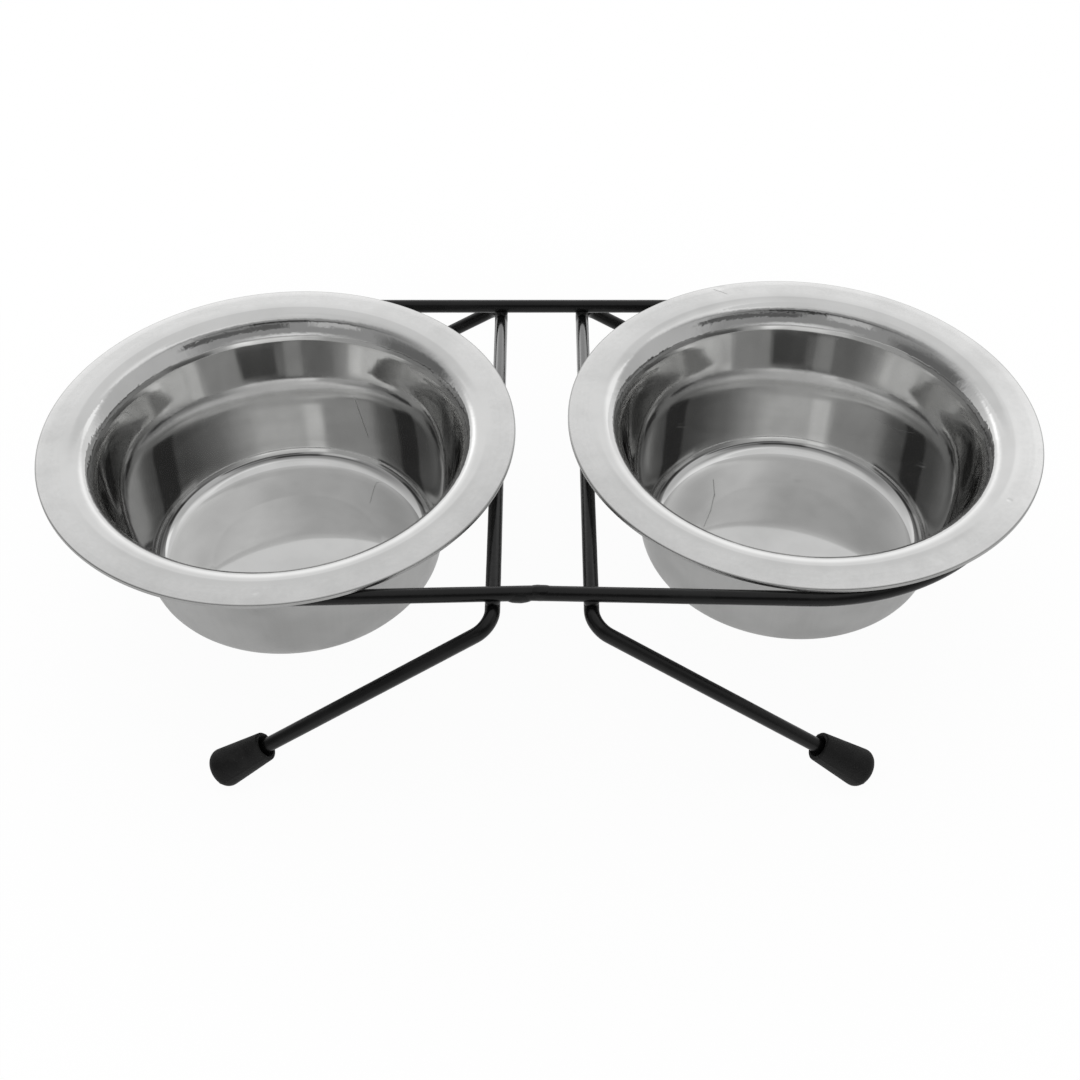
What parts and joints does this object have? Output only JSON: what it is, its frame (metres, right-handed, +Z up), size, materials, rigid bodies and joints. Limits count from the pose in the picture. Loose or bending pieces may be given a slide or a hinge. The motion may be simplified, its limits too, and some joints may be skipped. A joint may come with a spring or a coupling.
{
  "type": "double pet bowl",
  "caption": "Pet feeder whose flanged stainless bowls hang in a black bent-wire loop on splayed legs with rubber foot caps. Each bowl lifts straight out.",
  "frame": {"origin": "on the floor, under the middle of the stand", "axes": "+X along the two bowls, from the left one to the right one, +Y towards the back, +Z up"},
  "size_m": [0.3378, 0.1936, 0.0739],
  "materials": {
    "coated_wire": "glossy black coating over bent steel wire and its welds",
    "rubber": "matte black moulded rubber with a fine grain",
    "bowl_steel": "stainless, polished inside, satin on the flange and outside"
  },
  "bodies": {
    "stand": {"rail_loop": "coated_wire", "leg_wire_left": "coated_wire", "leg_wire_right": "coated_wire", "rail_butt_weld": "coated_wire", "weld_front_left": "coated_wire", "weld_back_left": "coated_wire", "weld_front_right": "coated_wire", "weld_back_right": "coated_wire", "foot_cap_front_left": "rubber", "foot_cap_back_left": "rubber", "foot_cap_front_right": "rubber", "foot_cap_back_right": "rubber"},
    "left_bowl": {"bowl_left": "bowl_steel"},
    "right_bowl": {"bowl_right": "bowl_steel"}
  },
  "joints": [
    {"name": "left_bowl_lift", "type": "slide", "parent": "stand", "child": "left_bowl", "axis": [0, 0, 1], "range_m": [0, 0.08]},
    {"name": "right_bowl_lift", "type": "slide", "parent": "stand", "child": "right_bowl", "axis": [0, 0, 1], "range_m": [0, 0.08]}
  ]
}
